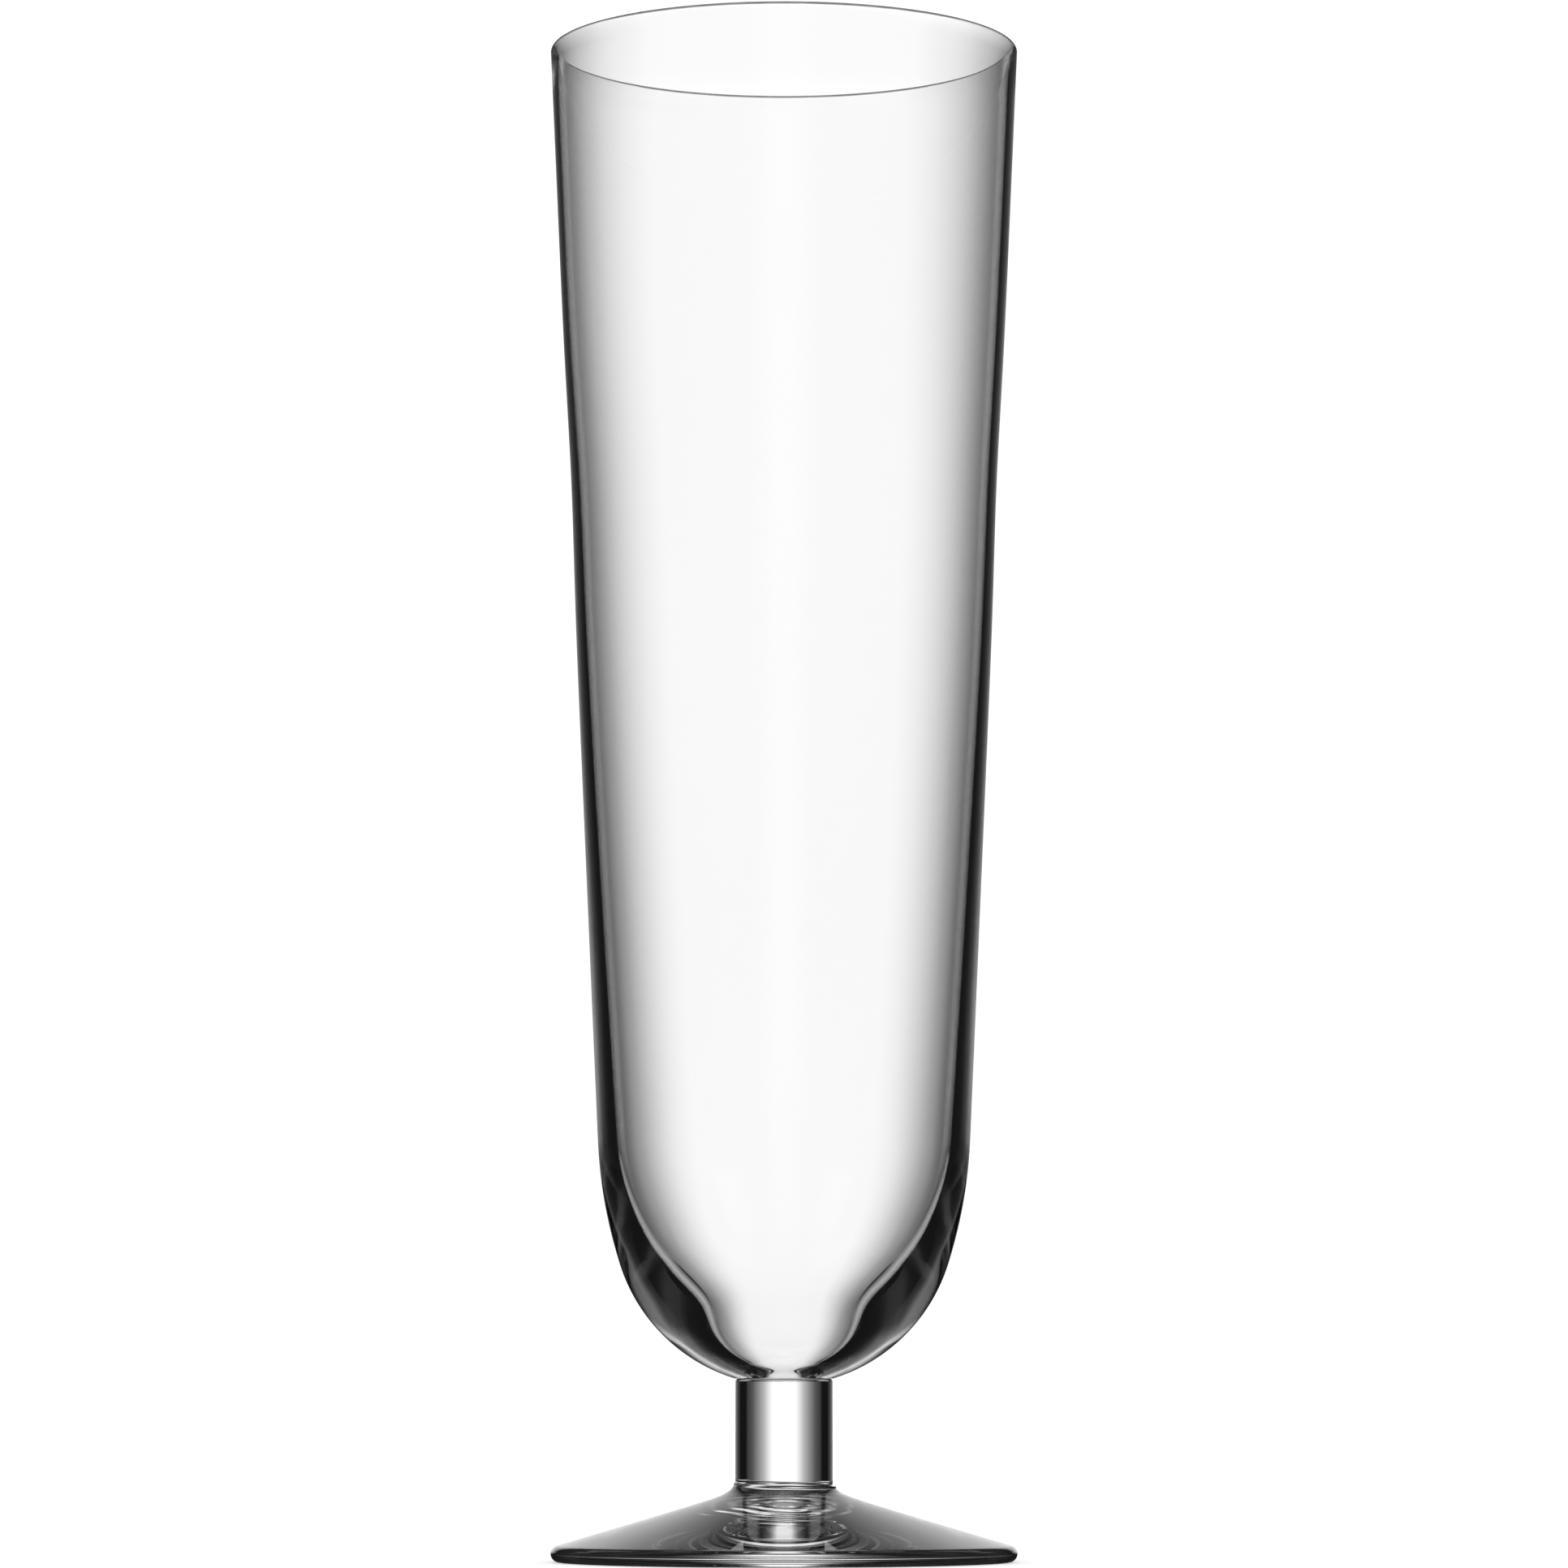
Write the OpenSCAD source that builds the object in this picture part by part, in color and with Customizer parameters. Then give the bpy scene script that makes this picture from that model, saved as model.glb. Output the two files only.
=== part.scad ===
// Pilsner glass: a tall tapering bowl on a short solid stem and a round foot.
// Three gathers of clear glass, joined hot on flat lands. Millimetres, +Z up.
// The origin is the centre of the foot's resting plane.

/* [Overall] */
// Height from the table to the lip
total_h = 240; // [215:1:265]
// Outer diameter at the lip
rim_d = 74.5; // [68:0.5:84]

/* [Bowl] */
// Height above the table where the straight wall ends and the rounded bottom begins
shoulder_h = 66; // [60:1:80]
// Outer diameter at that height
shoulder_d = 58.6; // [54:0.2:64]
// Radius of the slow curve just below the shoulder
belly_r = 76; // [66:1:90]
// Degrees through which the slow curve turns
belly_turn = 15; // [10:0.5:20]
// Radius of the tight curve that closes on the stem
bottom_r = 27.4; // [25:0.2:32]
// Wall thickness at the lip
lip_wall = 1.1; // [0.8:0.1:1.8]
// Wall thickness at the shoulder
shoulder_wall = 3; // [2:0.1:4]
// Thickness of the glass between the stem and the lowest point of the floor
floor_t = 2; // [1.5:0.1:4]
// How pointed the floor is: 1 is an ellipse, 2 a cone
floor_point = 1.05; // [1:0.05:1.3]
// Thickness of the ring of extra glass that gathers inside the rounded bottom
gather_t = 1.2; // [0.4:0.1:1.6]
// Height of the middle of that ring above the floor's lowest point
gather_rise = 6.5; // [5:0.5:9]
// Height above and below its middle in which the ring thins to a third
gather_h = 5; // [4:0.5:7]

/* [Stem] */
// Diameter of the solid stem
stem_d = 15.3; // [12:0.1:19]
// Radius of the round where the stem meets the bowl
stem_round = 0.4; // [0.2:0.1:0.8]

/* [Foot] */
// Diameter of the foot
foot_d = 73; // [64:0.5:84]
// Thickness of the foot's rounded edge
edge_t = 2.6; // [2:0.1:3.6]
// Slope of the foot's top, in degrees
foot_slope = 16.4; // [10:0.2:20]
// Height of the flare that rises off the slope to meet the stem
flare_h = 2; // [1:0.1:3]
// Distance from the stem in which the flare falls to half its height
flare_reach = 0.4; // [0.2:0.1:1]
// Width of the flat ring that the foot rests on
rest_ring_w = 3; // [2:0.2:6]
// Height of the shallow hollow under the foot, at its middle
hollow_h = 0.3; // [0.1:0.1:1.2]

/* [Hidden] */
$fn = 96;

// Steps in each round stretch of an outline
curve_steps = 18;
lip_steps = 8;
wall_steps = 24;
floor_steps = 30;

rim_r = rim_d / 2;
shoulder_r = shoulder_d / 2;
stem_r = stem_d / 2;
foot_r = foot_d / 2;

// The straight wall, from the shoulder to the lip's round
lip_r = lip_wall / 2;
lip_z = total_h - lip_r;
wall_h = lip_z - shoulder_h;
wall_angle = atan((rim_r - shoulder_r) / wall_h);

// The two tangent curves under the shoulder, the lower one cut off at the stem's radius
belly = arc_down(shoulder_r, shoulder_h, belly_r, wall_angle, wall_angle + belly_turn);
belly_end = belly[curve_steps];
land_angle = acos(cos(wall_angle + belly_turn) - (belly_end.x - stem_r) / bottom_r);
bottom = arc_down(belly_end.x, belly_end.y, bottom_r, wall_angle + belly_turn, land_angle);
land_z = bottom[curve_steps].y;

// The inside: the wall thickens with the square of the depth below the lip
inner_r = shoulder_r - shoulder_wall;
inner_taper = (rim_r - shoulder_r + 2 * (shoulder_wall - lip_wall)) / wall_h;
floor_z = land_z + floor_t;
floor_depth = shoulder_h - floor_z;
gather_z = floor_z + gather_rise;

// The foot's rounded edge, its sloping top and the boss that carries the stem
edge_r = edge_t / 2;
edge_centre_r = foot_r - edge_r;
slope_start_r = edge_centre_r + edge_r * sin(foot_slope);
slope_start_z = edge_r + edge_r * cos(foot_slope);
slope_span = slope_start_r - stem_r;
boss_z = slope_start_z + slope_span * tan(foot_slope) + flare_h;
hollow_r = edge_centre_r - rest_ring_w;

// Points down a curve that starts at [r0, z0], leaning a0 degrees from vertical, and ends leaning a1
function arc_down(r0, z0, radius, a0, a1) = [
    for (i = [0:curve_steps])
        let (a = a0 + (a1 - a0) * i / curve_steps)
        [r0 - radius * (cos(a0) - cos(a)), z0 - radius * (sin(a) - sin(a0))]
];

function reversed(points) = [for (i = [len(points) - 1:-1:0]) points[i]];

// Wall thickness and inner radius of the straight part at height z
function wall_at(z) = lip_wall + (shoulder_wall - lip_wall) * pow((lip_z - z) / wall_h, 2);
function inside_at(z) = shoulder_r + (rim_r - shoulder_r) * (z - shoulder_h) / wall_h - wall_at(z);

// Extra thickness that the gathered ring has at height z
function gathered(z) = gather_t * exp(-pow((z - gather_z) / gather_h, 2));

// Inner radius at a drop below the shoulder; the ring fades out over the stem
function inside_below(drop, share) =
    let (r = (inner_r - inner_taper * drop) * pow(share, floor_point))
    r - gathered(shoulder_h - drop) * min(1, r / stem_r);

// Height of the foot's top at a distance from the stem's side: a straight slope and the flare
function foot_top(d) =
    slope_start_z + (slope_span - d) * tan(foot_slope)
    + flare_h * flare_reach / (d + flare_reach) * (1 - d / slope_span);

// The lip's round, from outside to inside
lip = [
    for (i = [0:lip_steps])
        let (a = 180 * i / lip_steps)
        [rim_r - lip_r + lip_r * cos(a), lip_z + lip_r * sin(a)]
];

// The inner wall, from the lip down to the shoulder
inner_wall = [
    for (i = [1:wall_steps])
        let (z = lip_z - wall_h * i / wall_steps)
        [inside_at(z), z]
];

// The floor of the bowl: a pointed ellipse that keeps the wall's taper where it begins, less the ring
inner_floor = [
    for (i = [1:floor_steps])
        let (a = 90 * i / floor_steps, drop = floor_depth * sin(a))
        [i == floor_steps ? 0 : inside_below(drop, cos(a)), shoulder_h - drop]
];

bowl_outline = concat(
    [[0, land_z]],
    reversed(bottom),
    [for (i = [curve_steps - 1:-1:0]) belly[i]],
    lip,
    inner_wall,
    inner_floor
);

// The stem, from the foot's boss up to the small round under the bowl
stem_outline = concat(
    [[0, boss_z], [stem_r, boss_z]],
    [
        for (i = [0:lip_steps])
            let (a = 90 * i / lip_steps)
            [stem_r - stem_round * (1 - cos(a)), land_z - stem_round * (1 - sin(a))]
    ],
    [[0, land_z]]
);

// The hollow under the foot, from the axis out to the resting ring
hollow = [
    for (i = [0:curve_steps])
        let (share = i / curve_steps)
        [hollow_r * share, hollow_h * (1 - share * share)]
];

// The round edge, from the resting ring up to the slope
edge = [
    for (i = [0:curve_steps])
        let (a = -90 + (180 - foot_slope) * i / curve_steps)
        [edge_centre_r + edge_r * cos(a), edge_r + edge_r * sin(a)]
];

// The sloping top and the flare, closer together near the stem
foot_slope_points = [
    for (i = [curve_steps - 1:-1:0])
        let (d = slope_span * pow(i / curve_steps, 2))
        [stem_r + d, foot_top(d)]
];

foot_outline = concat(hollow, edge, foot_slope_points, [[0, boss_z]]);

// Blown bowl, open at the top, with a flat land under it for the stem
module bowl() {
    color("aliceblue", 0.4)
        rotate_extrude()
            polygon(bowl_outline);
}

// Solid drawn stem
module stem() {
    color("lightsteelblue", 0.5)
        rotate_extrude()
            polygon(stem_outline);
}

// Foot, with a boss that flares up to the stem and a shallow hollow underneath
module foot() {
    color("lightcyan", 0.5)
        rotate_extrude()
            polygon(foot_outline);
}

bowl();
stem();
foot();
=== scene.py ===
# Clear pilsner glass on a white table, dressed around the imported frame.
import math
import bpy
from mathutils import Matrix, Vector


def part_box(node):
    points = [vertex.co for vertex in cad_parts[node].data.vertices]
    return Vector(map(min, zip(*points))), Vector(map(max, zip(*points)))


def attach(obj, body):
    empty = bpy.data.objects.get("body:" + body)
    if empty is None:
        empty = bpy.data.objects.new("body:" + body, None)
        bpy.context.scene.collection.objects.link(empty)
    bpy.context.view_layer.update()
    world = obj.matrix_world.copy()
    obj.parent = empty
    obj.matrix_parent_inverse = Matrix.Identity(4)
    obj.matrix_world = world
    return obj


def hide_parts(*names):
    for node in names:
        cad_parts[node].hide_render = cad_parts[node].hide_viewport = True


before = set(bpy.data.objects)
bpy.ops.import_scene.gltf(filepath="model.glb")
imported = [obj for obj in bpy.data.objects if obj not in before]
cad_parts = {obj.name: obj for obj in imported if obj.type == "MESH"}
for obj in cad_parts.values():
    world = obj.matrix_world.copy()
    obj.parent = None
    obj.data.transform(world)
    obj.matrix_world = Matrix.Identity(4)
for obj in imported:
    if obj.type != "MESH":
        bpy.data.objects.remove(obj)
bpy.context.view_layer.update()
mm = 0.001

# Camera

cameraLook = {
    "distance": 1017.8 * mm,   # from the glass's axis
    "height": 25.2 * mm,       # above the table
    "pitch": 5.445,            # degrees, looking up
    "sensor": 36.0,
    "lens": 148.4,
    "nearest": 0.01,           # metres
    "furthest": 50.0,
}


def makeCamera(look):
    data = bpy.data.cameras.new("studioCamera")
    data.sensor_width = look["sensor"]
    data.lens = look["lens"]
    data.clip_start = look["nearest"]
    data.clip_end = look["furthest"]
    camera = bpy.data.objects.new("studioCamera", data)
    camera.location = (0.0, -look["distance"], look["height"])
    camera.rotation_euler = (math.radians(90.0 + look["pitch"]), 0.0, 0.0)
    bpy.context.scene.collection.objects.link(camera)
    bpy.context.scene.camera = camera
    print("camera ready")


makeCamera(cameraLook)

# Outlines and turned meshes

sharpAngle = 50.0  # degrees, from which an edge is left sharp


def arcDown(start, radius, leanFrom, leanTo, steps):
    # points down a curve whose lean from vertical grows
    points = []
    for i in range(steps + 1):
        lean = leanFrom + (leanTo - leanFrom) * i / steps
        points.append((
            start[0] - radius * (math.cos(leanFrom) - math.cos(lean)),
            start[1] - radius * (math.sin(lean) - math.sin(leanFrom)),
        ))
    return points


def turn(name, outline, segments, shape, joints):
    # a closed outline from the axis round to the axis again, turned about Z;
    # joints are the places in it where a face meets another piece
    verts, rings, faces, caps = [], [], [], []
    for place, (r, z) in enumerate(outline):
        if r < 1e-9:
            rings.append([len(verts)])
            verts.append((0.0, 0.0, z))
            continue
        ring = []
        for s in range(segments):
            a = 2.0 * math.pi * s / segments
            ring.append(len(verts))
            verts.append(shape(r, z, a, place))
        rings.append(ring)
    for place, (low, high) in enumerate(zip(rings, rings[1:])):
        for s in range(segments):
            t = (s + 1) % segments
            if len(low) == 1:
                faces.append((low[0], high[t], high[s]))
            elif len(high) == 1:
                faces.append((low[s], low[t], high[0]))
            else:
                faces.append((low[s], low[t], high[t], high[s]))
            caps.append(place in joints)
    mesh = bpy.data.meshes.new(name)
    mesh.from_pydata(verts, [], faces)
    for polygon, cap in zip(mesh.polygons, caps):
        polygon.use_smooth = True
        polygon.material_index = 1 if cap else 0
    mesh.update()
    mesh.set_sharp_from_angle(angle=math.radians(sharpAngle))
    piece = bpy.data.objects.new(name, mesh)
    bpy.context.scene.collection.objects.link(piece)
    return piece


def hump(x, middle, reach):
    return math.exp(-((x - middle) / reach) ** 2)


def rise(x, start, end):
    share = min(1.0, max(0.0, (x - start) / (end - start)))
    return share * share * (3.0 - 2.0 * share)


def waves(a, parts):
    # each part has its count round the axis, its phase in radians and its size
    return sum(size * math.sin(count * a + phase) for count, phase, size in parts)


# Node helpers


def maths(tree, operation, a, b=None, c=None):
    node = tree.nodes.new("ShaderNodeMath")
    node.operation = operation
    for place, value in enumerate((a, b, c)):
        if value is None:
            continue
        if isinstance(value, float):
            node.inputs[place].default_value = value
        else:
            tree.links.new(value, node.inputs[place])
    return node.outputs[0]


def product(tree, first, *others):
    for other in others:
        first = maths(tree, "MULTIPLY", first, other)
    return first


def ramp(tree, value, stops):
    node = tree.nodes.new("ShaderNodeValToRGB")
    elements = node.color_ramp.elements
    while len(elements) < len(stops):
        elements.new(0.5)
    for element, (place, level) in zip(elements, stops):
        element.position = place
        element.color = (level, level, level, 1.0)
    tree.links.new(value, node.inputs[0])
    return node.outputs["Color"]


def blend(tree, factor, a, b):
    node = tree.nodes.new("ShaderNodeMix")
    node.data_type = "RGBA"
    tree.links.new(factor, node.inputs["Factor"])
    for name, value in (("A", a), ("B", b)):
        if isinstance(value, float):
            node.inputs[name].default_value = (value, value, value, 1.0)
        else:
            tree.links.new(value, node.inputs[name])
    return node.outputs["Result"]


def blendShader(tree, factor, a, b):
    node = tree.nodes.new("ShaderNodeMixShader")
    tree.links.new(factor, node.inputs[0])
    tree.links.new(a, node.inputs[1])
    tree.links.new(b, node.inputs[2])
    return node.outputs[0]


def addShader(tree, a, b):
    node = tree.nodes.new("ShaderNodeAddShader")
    tree.links.new(a, node.inputs[0])
    tree.links.new(b, node.inputs[1])
    return node.outputs[0]


def glow(tree, color, strength):
    node = tree.nodes.new("ShaderNodeEmission")
    if isinstance(color, float):
        node.inputs["Color"].default_value = (color, color, color, 1.0)
    else:
        tree.links.new(color, node.inputs["Color"])
    node.inputs["Strength"].default_value = strength
    return node.outputs[0]


def clear(tree, color=None):
    node = tree.nodes.new("ShaderNodeBsdfTransparent")
    if color is not None:
        tree.links.new(color, node.inputs[0])
    return node.outputs[0]


def splitPlace(tree, place):
    split = tree.nodes.new("ShaderNodeSeparateXYZ")
    tree.links.new(place, split.inputs[0])
    return split.outputs


# Glass

glassLook = {
    "ior": 1.5,
    "shadow": 0.12,            # share of light that the glass takes from its own shadow
    "tintSize": 14.0,          # sizes of patterns are counts per metre
    "tintLow": 0.985,
    "waveSize": 26.0,          # slow waves of hand-blown glass
    "waveDepth": 0.006 * mm,
    "grainSize": 420.0,        # marks, grinding and the painted shade lines
    "markRare": 0.72,
    "markRough": 0.004,
}


def newGroup(name, inputs, output, kind):
    tree = bpy.data.node_groups.new(name, "ShaderNodeTree")
    for socket in inputs:
        inputKind = "NodeSocketColor" if socket == "Color" else "NodeSocketFloat"
        tree.interface.new_socket(socket, in_out="INPUT", socket_type=inputKind)
    tree.interface.new_socket(output, in_out="OUTPUT", socket_type=kind)
    given = tree.nodes.new("NodeGroupInput").outputs
    out = tree.nodes.new("NodeGroupOutput").inputs
    return tree, given, out


def objectCoords(tree):
    return tree.nodes.new("ShaderNodeTexCoord").outputs["Object"]


def groupNoise(tree, size, detail):
    noise = tree.nodes.new("ShaderNodeTexNoise")
    noise.inputs["Detail"].default_value = detail
    tree.links.new(size, noise.inputs["Scale"])
    tree.links.new(objectCoords(tree), noise.inputs["Vector"])
    return noise.outputs["Fac"]


def aboveStart(tree, start):
    return maths(tree, "GREATER_THAN", splitPlace(tree, objectCoords(tree))["Z"], start)


def makeTintGroup():
    tree, given, out = newGroup("glassTint", ("Size", "Low"), "Color", "NodeSocketColor")
    noise = groupNoise(tree, given["Size"], 1.0)
    tree.links.new(blend(tree, noise, given["Low"], 1.0), out["Color"])
    return tree


def makeWaveGroup():
    tree, given, out = newGroup("blownWaves", ("Size", "Depth"), "Normal", "NodeSocketVector")
    bump = tree.nodes.new("ShaderNodeBump")
    bump.inputs["Strength"].default_value = 1.0
    tree.links.new(given["Depth"], bump.inputs["Distance"])
    tree.links.new(groupNoise(tree, given["Size"], 1.0), bump.inputs["Height"])
    tree.links.new(bump.outputs["Normal"], out["Normal"])
    return tree


def makeShadeLineGroup():
    # painted shade: a darker line over the top edge of a piece, with a lower limit that wanders
    inputs = ("Color", "Start", "Wander", "Size", "Level")
    tree, given, out = newGroup("paintedShadeLine", inputs, "Color", "NodeSocketColor")
    noise = groupNoise(tree, given["Size"], 2.0)
    start = maths(tree, "MULTIPLY_ADD", noise, given["Wander"], given["Start"])
    line = aboveStart(tree, start)
    tree.links.new(blend(tree, line, given["Color"], given["Level"]), out["Color"])
    return tree


def makeMarkGroup():
    inputs = ("Size", "Rare", "Depth")
    tree, given, out = newGroup("handlingMarks", inputs, "Roughness", "NodeSocketFloat")
    marked = maths(tree, "GREATER_THAN", groupNoise(tree, given["Size"], 4.0), given["Rare"])
    tree.links.new(product(tree, marked, given["Depth"]), out["Roughness"])
    return tree


def makeLipGroup():
    # rough above its start, in patches
    inputs = ("Start", "Size", "Depth")
    tree, given, out = newGroup("groundLip", inputs, "Roughness", "NodeSocketFloat")
    patchy = maths(tree, "ADD", groupNoise(tree, given["Size"], 2.0), 0.5)
    rough = product(tree, patchy, given["Depth"], aboveStart(tree, given["Start"]))
    tree.links.new(rough, out["Roughness"])
    return tree


tintGroup = makeTintGroup()
waveGroup = makeWaveGroup()
shadeLineGroup = makeShadeLineGroup()
markGroup = makeMarkGroup()
lipGroup = makeLipGroup()

tint = {"Size": glassLook["tintSize"], "Low": glassLook["tintLow"]}
blown = {"Size": glassLook["waveSize"], "Depth": glassLook["waveDepth"]}
marks = {
    "Size": glassLook["grainSize"],
    "Rare": glassLook["markRare"],
    "Depth": glassLook["markRough"],
}


def useGroup(tree, group, values, output):
    node = tree.nodes.new("ShaderNodeGroup")
    node.node_tree = group
    for name, value in values.items():
        if isinstance(value, float):
            node.inputs[name].default_value = value
        else:
            tree.links.new(value, node.inputs[name])
    return node.outputs[output]


def makeGlass(name, roughGroup, roughValues, shadeLineValues=None):
    material = bpy.data.materials.new(name)
    material.use_nodes = True
    tree = material.node_tree
    shader = tree.nodes["Principled BSDF"]
    shader.inputs["IOR"].default_value = glassLook["ior"]
    shader.inputs["Metallic"].default_value = 0.0
    shader.inputs["Transmission Weight"].default_value = 1.0
    color = useGroup(tree, tintGroup, tint, "Color")
    # a painted shade line over the top edge, where one is given
    if shadeLineValues:
        color = useGroup(tree, shadeLineGroup, {"Color": color, **shadeLineValues}, "Color")
    normal = useGroup(tree, waveGroup, blown, "Normal")
    rough = useGroup(tree, roughGroup, roughValues, "Roughness")
    path = tree.nodes.new("ShaderNodeLightPath")
    shadowRay = path.outputs["Is Shadow Ray"]
    alpha = maths(tree, "MULTIPLY_ADD", shadowRay, glassLook["shadow"] - 1.0, 1.0)
    tree.links.new(color, shader.inputs["Base Color"])
    tree.links.new(normal, shader.inputs["Normal"])
    tree.links.new(rough, shader.inputs["Roughness"])
    tree.links.new(alpha, shader.inputs["Alpha"])
    return material


def makeJoint():
    # faces inside the fused glass don't show
    material = bpy.data.materials.new("fusedJoint")
    material.use_nodes = True
    material.node_tree.nodes["Principled BSDF"].inputs["Alpha"].default_value = 0.0
    return material


jointMaterial = makeJoint()
print("glass ready")


def dress(piece, node, glass):
    piece.data.materials.append(glass)
    piece.data.materials.append(jointMaterial)
    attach(piece, "root")
    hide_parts(node)
    print(node, "ready")


bowlLow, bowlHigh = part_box("bowl")
stemLow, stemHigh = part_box("stem")
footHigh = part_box("foot")[1]
stemR = stemHigh.x

# Bowl

bowl = {
    "shoulderH": 66.0 * mm,
    "shoulderR": 29.3 * mm,
    "bellyR": 76.0 * mm,
    "bellyTurn": 15.0,         # degrees
    "bottomR": 27.4 * mm,
    "lipWall": 1.1 * mm,
    "shoulderWall": 3.0 * mm,
    "floorT": 3.5 * mm,        # before the dimple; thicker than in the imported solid
    "floorPoint": 1.05,
    "dimpleH": 1.0 * mm,       # small dimple in the middle of the floor
    "dimpleReach": 2.5 * mm,
    "gatherT": 0.9 * mm,       # ring of gathered glass round the floor
    "gatherRise": 6.5 * mm,
    "gatherH": 5.0 * mm,
    "landR": 7.2 * mm,
    "waist": 0.28 * mm,        # the wall draws in a little, high up
    "waistZ": 170.0 * mm,
    "waistReach": 17.0 * mm,
    "innerShift": -0.13 * mm,  # the upper wall is thicker on one side
    "shiftGrows": (158.0 * mm, 206.0 * mm),
    "shiftEnds": (236.0 * mm, 239.5 * mm),
    "groundAndShadeH": 0.38 * mm,      # the crest of the lip was ground and only part polished; over the same height its colour is painted darker, a painted shade line
    "groundRough": 0.8,
    # darkness of the painted shade line over the lip
    "lipShadeLevel": 0.5,
    "segments": 288,
    "curveSteps": 48,
    "floorSteps": 96,
    "wallSteps": 72,
    "lipSteps": 14,
}


def bowlOutline(b):
    rimR, top, landZ = bowlHigh.x, bowlHigh.z, bowlLow.z
    shoulderR, shoulderH = b["shoulderR"], b["shoulderH"]
    lipR = b["lipWall"] / 2
    lipZ = top - lipR
    wallH = lipZ - shoulderH
    # the outside, from the land up to the lip
    lean = math.atan((rimR - shoulderR) / wallH)
    leanBelly = lean + math.radians(b["bellyTurn"])
    steps = b["curveSteps"]
    belly = arcDown((shoulderR, shoulderH), b["bellyR"], lean, leanBelly, steps)
    landLean = math.acos(math.cos(leanBelly) - (belly[-1][0] - stemR) / b["bottomR"])
    bottom = arcDown(belly[-1], b["bottomR"], leanBelly, landLean, steps)
    bottom[-1] = (stemR, landZ)
    points = [(0.0, landZ), (b["landR"], landZ)] + bottom[::-1] + belly[-2::-1]
    for i in range(1, b["wallSteps"]):
        share = i / b["wallSteps"]
        points.append((shoulderR + (rimR - shoulderR) * share, shoulderH + wallH * share))
    for i in range(b["lipSteps"] + 1):
        a = math.pi * i / b["lipSteps"]
        points.append((rimR - lipR + lipR * math.cos(a), lipZ + lipR * math.sin(a)))
    inside = len(points) - 1
    # the inside, from the lip down to the middle of the floor
    extra = b["shoulderWall"] - b["lipWall"]
    for i in range(1, b["wallSteps"] + 1):
        share = i / b["wallSteps"]
        outer = rimR + (shoulderR - rimR) * share
        points.append((outer - b["lipWall"] - extra * share * share, lipZ - wallH * share))
    innerR = shoulderR - b["shoulderWall"]
    taper = (rimR - shoulderR + 2 * extra) / wallH
    floorZ = landZ + b["floorT"]
    gatherZ = floorZ + b["gatherRise"]
    for i in range(1, b["floorSteps"]):
        a = math.pi / 2 * i / b["floorSteps"]
        drop = (shoulderH - floorZ) * math.sin(a)
        z = shoulderH - drop
        r = (innerR - taper * drop) * math.cos(a) ** b["floorPoint"]
        r -= b["gatherT"] * hump(z, gatherZ, b["gatherH"]) * min(1.0, r / stemR)
        points.append((r, z - b["dimpleH"] * hump(r, 0.0, b["dimpleReach"])))
    points.append((0.0, floorZ - b["dimpleH"]))
    return points, inside


bowlPoints, bowlInside = bowlOutline(bowl)


def bowlShape(r, z, a, place):
    r -= bowl["waist"] * hump(z, bowl["waistZ"], bowl["waistReach"])
    x, y = r * math.cos(a), r * math.sin(a)
    if place > bowlInside:
        shifted = rise(z, *bowl["shiftGrows"]) * (1.0 - rise(z, *bowl["shiftEnds"]))
        x += bowl["innerShift"] * shifted
    return x, y, z


# where the lip turns rough and where its painted shade line starts
groundAndShadeZ = bowlHigh.z - bowl["groundAndShadeH"]
bowlGlass = makeGlass(
    "bowlGlass",
    lipGroup,
    {"Start": groundAndShadeZ, "Size": glassLook["grainSize"], "Depth": bowl["groundRough"]},
    {"Start": groundAndShadeZ, "Size": glassLook["grainSize"], "Wander": 0.0, "Level": bowl["lipShadeLevel"]},
)
blownBowl = turn("blownBowl", bowlPoints, bowl["segments"], bowlShape, (0,))
dress(blownBowl, "bowl", bowlGlass)

# The weld between stem and foot: it dips at the seam and wanders up and down

weld = {
    "drop": 0.8 * mm,          # the boss has sunk a little under the stem
    "bulge": 0.3 * mm,         # how far the stem widens into the boss on one side
    "step": 0.3 * mm,          # how far the boss stands out on the other side
    "stepSide": 0.3,           # radians from +X
    "reach": 0.9 * mm,
    "dip": 0.08 * mm,
    "dipReach": 0.12 * mm,
    "wander": 0.14 * mm,       # lower on the right, with a few small waves
    "wanderFades": (0.3 * mm, 2.0 * mm),
    "waves": [(1, 4.5708, 0.6), (3, 1.0, 0.25), (8, 0.5, 0.15)],
}
seamZ = stemLow.z - weld["drop"]


def stepShare(a):
    return 0.5 + 0.5 * math.cos(a - weld["stepSide"])


def weldRadius(above, size):
    away = 1.0 - rise(abs(above), 0.0, weld["reach"])
    return size * away * away - weld["dip"] * hump(above, 0.0, weld["dipReach"])


def weldHeight(a, above):
    near = 1.0 - rise(abs(above), *weld["wanderFades"])
    return weld["wander"] * waves(a, weld["waves"]) * near


# Stem

stem = {
    "topH": 0.45 * mm,         # the top edge softened in the flame
    "topReach": 0.45 * mm,
    "shadeLineH": 0.65 * mm,        # painted shade: a dark line over the top of the stem, at the seam under the bowl
    "shadeLineWander": 0.3 * mm,
    "shadeLineLevel": 0.2,
    "segments": 192,
    "steps": 48,
    "topSteps": 8,
}


def stemOutline(s):
    low, high = seamZ, stemHigh.z
    end = high - s["topH"]
    points = [(0.0, low)]
    for i in range(s["steps"]):
        # closer together near the weld
        points.append((stemR, low + (end - low) * (i / s["steps"]) ** 2))
    for i in range(s["topSteps"] + 1):
        a = math.pi / 2 * i / s["topSteps"]
        points.append((stemR - s["topReach"] * (1 - math.cos(a)), end + s["topH"] * math.sin(a)))
    points.append((0.0, high))
    return points


def stemShape(r, z, a, place):
    above = z - seamZ
    r += weldRadius(above, weld["bulge"] * (1.0 - stepShare(a)))
    return r * math.cos(a), r * math.sin(a), z + weldHeight(a, above)


# the stem gets a painted shade line over its top, under the bowl
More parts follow.
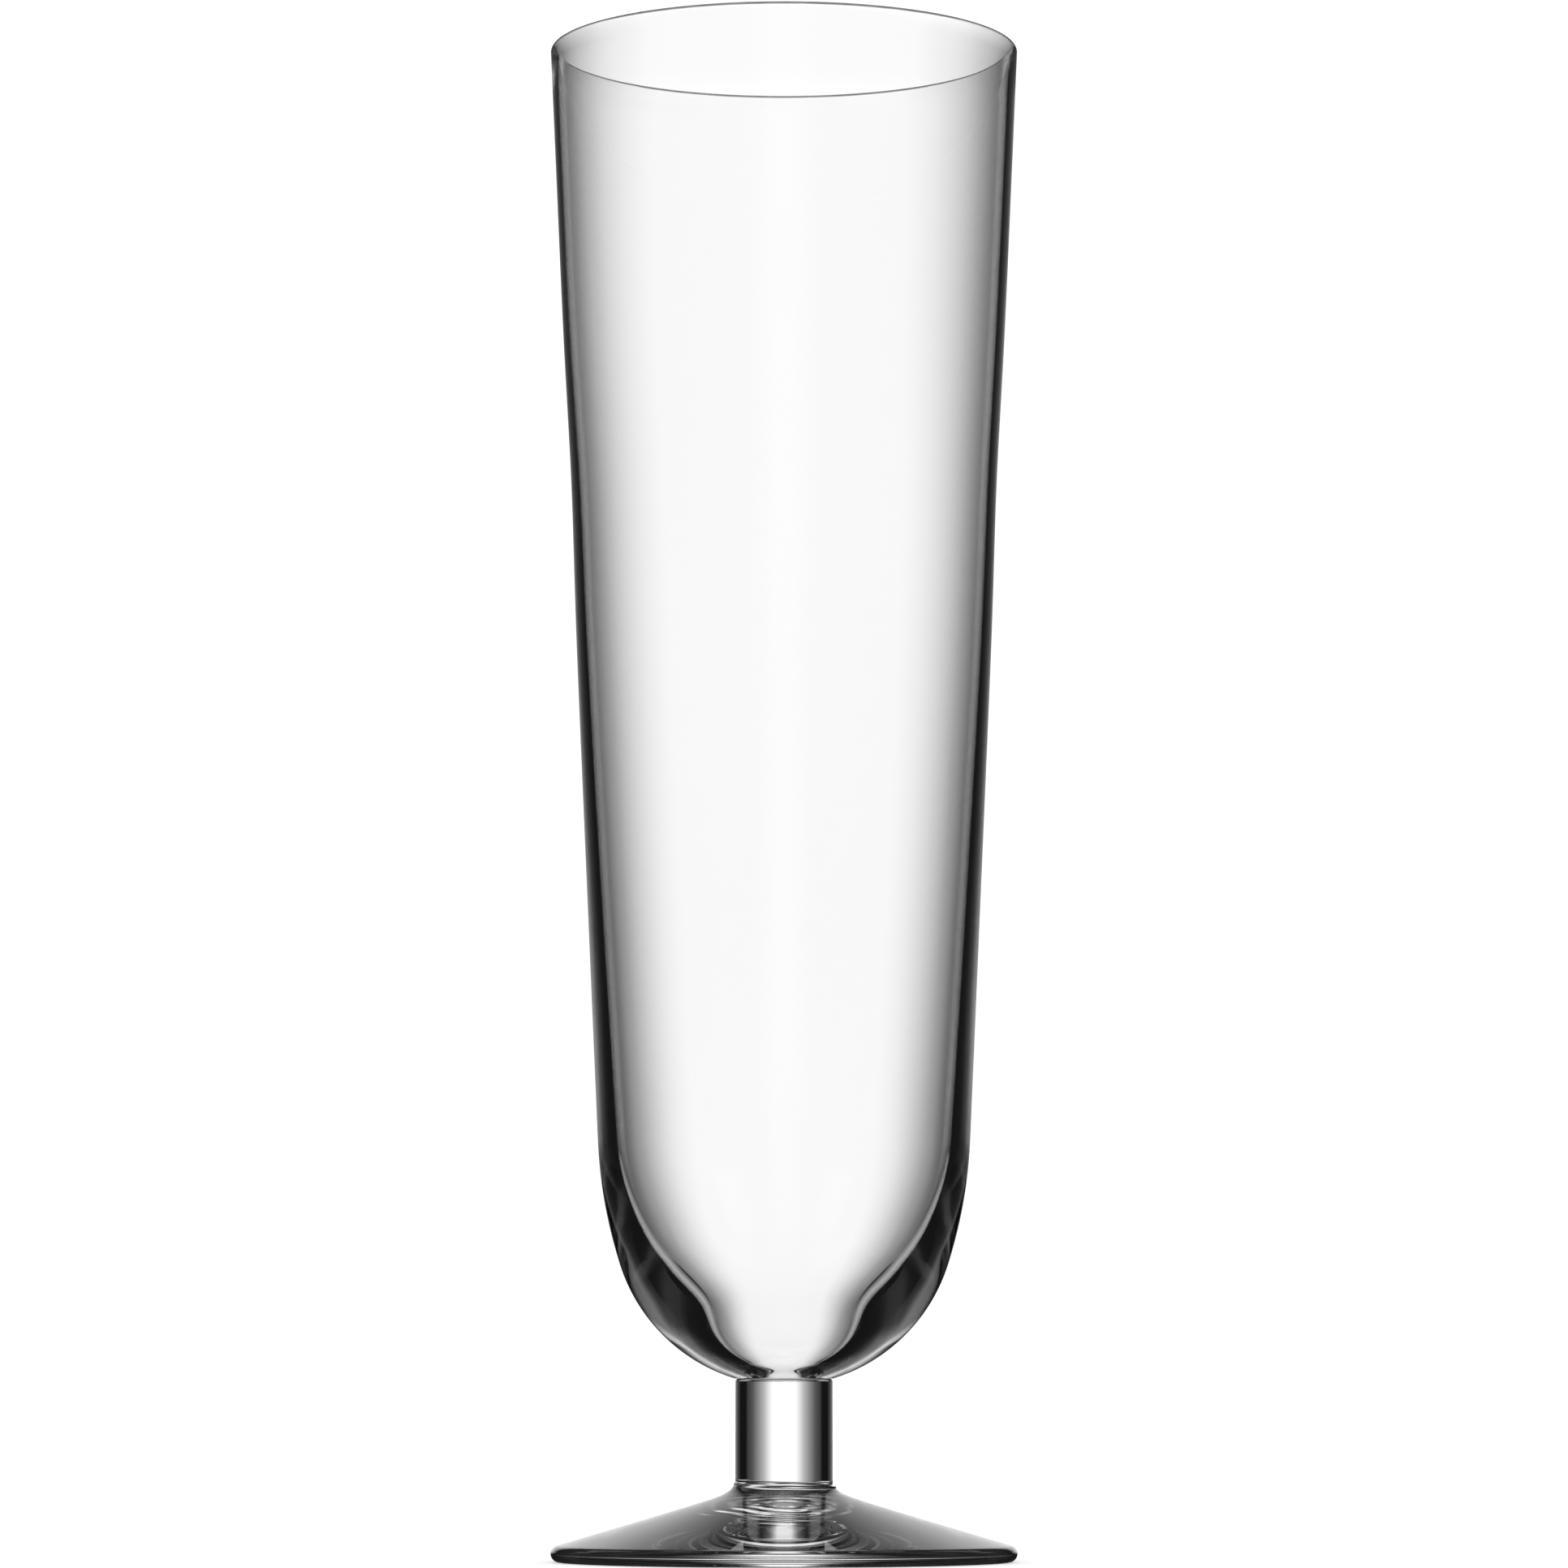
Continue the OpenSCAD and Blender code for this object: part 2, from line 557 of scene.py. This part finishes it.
stemGlass = makeGlass("stemGlass", markGroup, marks, {
    "Start": stemHigh.z - stem["shadeLineH"],
    "Size": glassLook["grainSize"],
    "Wander": stem["shadeLineWander"],
    "Level": stem["shadeLineLevel"],
})
stemPoints = stemOutline(stem)
stemJoints = (0, len(stemPoints) - 2)
solidStem = turn("solidStem", stemPoints, stem["segments"], stemShape, stemJoints)
dress(solidStem, "stem", stemGlass)

# Foot

foot = {
    "edgeT": 2.6 * mm,
    "slope": 16.4,             # degrees
    "flareH": 2.0 * mm,
    "flareReach": 0.4 * mm,
    "ringW": 3.0 * mm,
    "hollowH": 0.3 * mm,
    "landR": 7.5 * mm,
    "seamGap": 0.03 * mm,
    "rippleR": 18.0 * mm,      # tooling rings under the middle of the foot
    "ripplePitch": 2.7 * mm,
    "rippleH": 0.035 * mm,
    "rippleStarts": (0.5 * mm, 3.0 * mm),
    "rippleFadeShare": 0.6,
    "wander": [(2, 0.7, 1.3), (3, 2.1, 0.9), (7, 0.4, 0.5)],
    "wanderR": 9.0 * mm,
    "spiral": [(5, 0.0, 0.4)],
    "uneven": [(11, 1.0, 0.3)],
    "segments": 288,
    "steps": 120,
    "edgeSteps": 24,
}


def footOutline(f):
    edgeR = f["edgeT"] / 2
    centreR = footHigh.x - edgeR
    slope = math.radians(f["slope"])
    startR = centreR + edgeR * math.sin(slope)
    startZ = edgeR + edgeR * math.cos(slope)
    span = startR - stemR
    hollowR = centreR - f["ringW"]
    points = []
    for i in range(f["steps"] + 1):
        share = i / f["steps"]
        points.append((hollowR * share, f["hollowH"] * (1 - share * share)))
    under = len(points) - 1
    for i in range(f["edgeSteps"] + 1):
        a = -math.pi / 2 + (math.pi - slope) * i / f["edgeSteps"]
        points.append((centreR + edgeR * math.cos(a), edgeR + edgeR * math.sin(a)))
    # up the slope and the flare, as far as the seam
    for i in range(f["steps"] - 1, -1, -1):
        d = span * (i / f["steps"]) ** 2
        flare = f["flareH"] * f["flareReach"] / (d + f["flareReach"]) * (1 - d / span)
        z = startZ + (span - d) * math.tan(slope) + flare
        if z < seamZ - f["seamGap"]:
            points.append((stemR + d, z))
    points.append((points[-1][0] - f["seamGap"], seamZ))
    points.append((f["landR"], seamZ))
    points.append((0.0, seamZ))
    return points, under


footPoints, footUnder = footOutline(foot)


def ringHeight(r, a):
    # rings that wander round the middle, as a hand tool leaves them
    reach = foot["rippleR"]
    turns = 2 * math.pi * r / foot["ripplePitch"]
    turns += waves(a, foot["wander"]) * min(1.0, r / foot["wanderR"])
    fade = 1.0 - rise(r, foot["rippleFadeShare"] * reach, reach)
    fade *= rise(r, *foot["rippleStarts"])
    uneven = 1.0 + waves(a + r / reach, foot["spiral"]) + waves(a, foot["uneven"])
    return foot["rippleH"] * math.sin(turns) * fade * uneven


def footShape(r, z, a, place):
    if place < footUnder:
        z += ringHeight(r, a)
    else:
        above = z - seamZ
        if r > stemR:
            r += weldRadius(above, weld["step"] * stepShare(a))
        z += weldHeight(a, above)
    return r * math.cos(a), r * math.sin(a), z


footGlass = makeGlass("footGlass", markGroup, marks)
footJoints = (len(footPoints) - 2,)
footDisc = turn("footDisc", footPoints, foot["segments"], footShape, footJoints)
dress(footDisc, "foot", footGlass)

# Stage helpers

diagonal = [(0.0, 0.0), (0.62, 0.0), (0.82, 1.0)]  # 0 faces a panel, 1 a corner of the room


def stageMesh(name, verts, faces, material):
    mesh = bpy.data.meshes.new(name)
    mesh.from_pydata(verts, [], faces)
    mesh.materials.append(material)
    piece = bpy.data.objects.new(name, mesh)
    bpy.context.scene.collection.objects.link(piece)
    return piece


def newMaterial(name):
    material = bpy.data.materials.new(name)
    material.use_nodes = True
    material.node_tree.nodes.clear()
    output = material.node_tree.nodes.new("ShaderNodeOutputMaterial")
    return material, material.node_tree, output


def stagePlace(tree):
    return splitPlace(tree, tree.nodes.new("ShaderNodeNewGeometry").outputs["Position"])


def facing(tree):
    # 0 where a ray meets the surface squarely, 1 where it grazes it
    weight = tree.nodes.new("ShaderNodeLayerWeight")
    weight.inputs["Blend"].default_value = 0.5
    return weight.outputs["Facing"]


def diagonalMask(tree, x, y):
    # bright towards the four corners, dark towards the four panels
    acrossX, acrossY = maths(tree, "ABSOLUTE", x), maths(tree, "ABSOLUTE", y)
    lesser = maths(tree, "MINIMUM", acrossX, acrossY)
    greater = maths(tree, "MAXIMUM", acrossX, acrossY)
    angle = maths(tree, "ARCTAN2", lesser, greater)
    return ramp(tree, maths(tree, "DIVIDE", angle, math.pi / 4), diagonal)


# Table

tableLook = {
    "radius": 6.0,
    "sides": 96,
    "gap": 0.05 * mm,          # below the foot
    "color": (0.9, 0.9, 0.9, 1.0),
    "glow": 0.25,
    "through": 1.13,           # the table as seen through the glass
    # its brightness there by the slant of the view: 0 is straight down, 1 level
    "slant": [(0.0, 1.0), (0.88, 1.0), (0.92, 0.0)],
    "steep": [(0.0, 1.0), (0.36, 1.0), (0.44, 0.0)],
    # and by half the distance from its middle in metres: close in all round, far out
    # only towards the corners, and beyond the foot all round for the steep views
    "near": [(0.0, 0.0), (0.005, 0.0), (0.007, 0.8), (0.02, 0.8), (0.03, 0.0)],
    "far": [(0.0, 0.0), (0.005, 0.0), (0.007, 0.6), (0.04, 0.7), (0.1, 1.0), (0.9, 1.0), (1.0, 0.0)],
    "beyond": [(0.0, 0.0), (0.021, 0.0), (0.025, 1.0)],
}


def makeTable(t):
    material, tree, output = newMaterial("whiteTable")
    diffuse = tree.nodes.new("ShaderNodeBsdfDiffuse")
    diffuse.inputs["Color"].default_value = t["color"]
    seen = addShader(tree, diffuse.outputs[0], glow(tree, 1.0, t["glow"]))
    place = stagePlace(tree)
    squareX = maths(tree, "POWER", place["X"], 2.0)
    squareY = maths(tree, "POWER", place["Y"], 2.0)
    away = maths(tree, "MULTIPLY", maths(tree, "SQRT", maths(tree, "ADD", squareX, squareY)), 0.5)
    corners = product(tree, diagonalMask(tree, place["X"], place["Y"]), ramp(tree, away, t["far"]))
    reach = maths(tree, "MAXIMUM", ramp(tree, away, t["near"]), corners)
    slanted = facing(tree)
    low = product(tree, reach, ramp(tree, slanted, t["slant"]))
    steep = product(tree, ramp(tree, slanted, t["steep"]), ramp(tree, away, t["beyond"]))
    path = tree.nodes.new("ShaderNodeLightPath")
    direct = maths(tree, "LESS_THAN", path.outputs["Glossy Depth"], 0.5)
    lit = product(tree, maths(tree, "MAXIMUM", low, steep), direct)
    through = blendShader(tree, lit, clear(tree), glow(tree, 1.0, t["through"]))
    passing = path.outputs["Is Transmission Ray"]
    glassRay = maths(tree, "MAXIMUM", passing, path.outputs["Is Glossy Ray"])
    tree.links.new(blendShader(tree, glassRay, seen, through), output.inputs[0])
    ring = []
    for i in range(t["sides"]):
        a = 2 * math.pi * i / t["sides"]
        ring.append((t["radius"] * math.cos(a), t["radius"] * math.sin(a), -t["gap"]))
    stageMesh("table", ring, [tuple(range(t["sides"]))], material)
    print("table ready")


makeTable(tableLook)

# Light panels on four sides

panelLook = {
    "gap": 200.0 * mm,         # from the glass's axis
    "half": 150.0 * mm,
    "low": -50.0 * mm,
    "high": 310.0 * mm,
    "power": 1.13,
    "share": 0.2,              # mirrored light of the front and side panels
    # brightness by the distance from the middle in metres, seen straight or through the glass
    "clear": [(0.0, 1.0), (0.028, 1.0), (0.032, 0.93), (0.036, 0.87), (0.042, 0.73), (0.05, 0.56),
              (0.057, 0.43), (0.077, 0.24), (0.1, 0.1), (0.115, 0.06), (0.15, 0.02), (0.18, 0.0)],
    # the same when mirrored
    "mirrored": [(0.0, 1.0), (0.022, 1.0), (0.028, 0.8), (0.034, 0.6), (0.042, 0.36),
                 (0.05, 0.22), (0.057, 0.14), (0.077, 0.07), (0.1, 0.03), (0.15, 0.0)],
    # and by height in metres
    "clearUp": [(0.0, 1.0), (0.27, 1.0), (0.278, 0.93)],
    "mirroredUp": [(0.0, 0.2), (0.045, 0.25), (0.075, 0.95), (0.11, 0.8), (0.15, 0.8), (0.22, 0.95)],
    # how far the panel lets through what is behind it
    "open": [(0.0, 0.0), (0.06, 0.0), (0.12, 1.0)],
}


def makePanelMaterial(p, name, side, share):
    material, tree, output = newMaterial(name)
    place = stagePlace(tree)
    across = maths(tree, "ABSOLUTE", place[side])
    seen = product(tree, ramp(tree, across, p["clear"]), ramp(tree, place["Z"], p["clearUp"]))
    mirrored = product(tree, ramp(tree, across, p["mirrored"]), ramp(tree, place["Z"], p["mirroredUp"]))
    path = tree.nodes.new("ShaderNodeLightPath")
    bounced = maths(tree, "GREATER_THAN", path.outputs["Glossy Depth"], 0.5)
    bright = blend(tree, bounced, seen, product(tree, mirrored, share))
    light = glow(tree, bright, p["power"])
    behind = clear(tree, ramp(tree, across, p["open"]))
    tree.links.new(addShader(tree, light, behind), output.inputs[0])
    return material


def makePanels(p):
    for name, across, out, side, share in (
        ("backPanel", (1, 0), (0, 1), "X", 1.0),
        ("frontPanel", (1, 0), (0, -1), "X", p["share"]),
        ("rightPanel", (0, 1), (1, 0), "Y", p["share"]),
        ("leftPanel", (0, 1), (-1, 0), "Y", p["share"]),
    ):
        verts = []
        for along, z in ((-1, p["low"]), (1, p["low"]), (1, p["high"]), (-1, p["high"])):
            x = out[0] * p["gap"] + along * across[0] * p["half"]
            y = out[1] * p["gap"] + along * across[1] * p["half"]
            verts.append((x, y, z))
        material = makePanelMaterial(p, name, side, share)
        panel = stageMesh(name, verts, [(0, 1, 2, 3)], material)
        panel.visible_camera = False
        panel.visible_diffuse = False
        panel.visible_shadow = False
    print("panels ready")


makePanels(panelLook)

# A low white card behind the foot, which only mirrors on its slope. It leans over the
# foot, so that what looks up at it sees it lit and what looks down sees it dark.

cardLook = {
    "gap": 50.0 * mm,          # from the glass's axis to the card's top edge
    "lean": 60.0 * mm,
    "half": 110.0 * mm,
    "height": 60.0 * mm,
    "power": 1.0,
    # brightness by the slant of the view, by the direction across and by height in metres
    "slant": [(0.0, 1.0), (0.28, 1.0), (0.33, 0.0)],
    "across": [(0.0, 1.0), (0.63, 1.0), (0.92, 0.0)],
    "up": [(0.0, 1.0), (0.037, 0.95), (0.045, 0.75), (0.052, 0.45), (0.057, 0.0)],
}


def makeCard(c):
    material, tree, output = newMaterial("cardLight")
    place = stagePlace(tree)
    across = maths(tree, "DIVIDE", maths(tree, "ABSOLUTE", place["X"]), place["Y"])
    light = product(
        tree,
        ramp(tree, across, c["across"]),
        ramp(tree, place["Z"], c["up"]),
        ramp(tree, facing(tree), c["slant"]),
    )
    tree.links.new(glow(tree, light, c["power"]), output.inputs[0])
    top, low, half = c["gap"], c["gap"] + c["lean"], c["half"]
    verts = [(-half, low, 0.0), (half, low, 0.0), (half, top, c["height"]), (-half, top, c["height"])]
    card = stageMesh("footCard", verts, [(0, 1, 2, 3)], material)
    card.visible_camera = False
    card.visible_diffuse = False
    card.visible_transmission = False
    card.visible_shadow = False
    print("card ready")


makeCard(cardLook)

# Room

roomLook = {
    "white": 1.1,              # what the camera sees behind the glass
    "soft": 1.0,               # what lights the table
    "dark": 0.007,             # what the glass sees beside the panels
    "again": 0.1,              # share of the corners' high light left after a reflection
    "once": 0.5,               # share of their low light, seen after one reflection
    # brightness of the corners by height: 0.5 is level, 1 straight up
    "high": [(0.0, 0.0), (0.75, 0.0), (0.85, 1.0)],
    "low": [(0.0, 0.0), (0.65, 0.0), (0.69, 1.0), (0.85, 1.0), (0.9, 0.0)],
}


def makeRoom(w):
    world = bpy.data.worlds.new("studio")
    bpy.context.scene.world = world
    world.use_nodes = True
    tree = world.node_tree
    tree.nodes.clear()
    toward = splitPlace(tree, tree.nodes.new("ShaderNodeTexCoord").outputs["Generated"])
    height = maths(tree, "MULTIPLY_ADD", toward["Z"], 0.5, 0.5)
    path = tree.nodes.new("ShaderNodeLightPath")
    direct = maths(tree, "LESS_THAN", path.outputs["Glossy Depth"], 0.5)
    once = maths(tree, "COMPARE", path.outputs["Glossy Depth"], 1.0, 0.1)
    high = product(tree, ramp(tree, height, w["high"]), maths(tree, "MAXIMUM", direct, w["again"]))
    low = product(tree, ramp(tree, height, w["low"]), once, w["once"])
    mask = diagonalMask(tree, toward["X"], toward["Y"])
    corners = product(tree, mask, maths(tree, "MAXIMUM", high, low))
    color = maths(tree, "MAXIMUM", corners, w["dark"])
    color = blend(tree, path.outputs["Is Diffuse Ray"], color, w["soft"])
    color = blend(tree, path.outputs["Is Camera Ray"], color, w["white"])
    background = tree.nodes.new("ShaderNodeBackground")
    output = tree.nodes.new("ShaderNodeOutputWorld")
    tree.links.new(color, background.inputs["Color"])
    tree.links.new(background.outputs[0], output.inputs[0])
    print("room ready")


makeRoom(roomLook)

bounces = 32
scene = bpy.context.scene
scene.view_settings.view_transform = "Standard"
scene.cycles.max_bounces = bounces
scene.cycles.transmission_bounces = bounces
scene.cycles.glossy_bounces = bounces
scene.cycles.transparent_max_bounces = bounces
print("light ready")
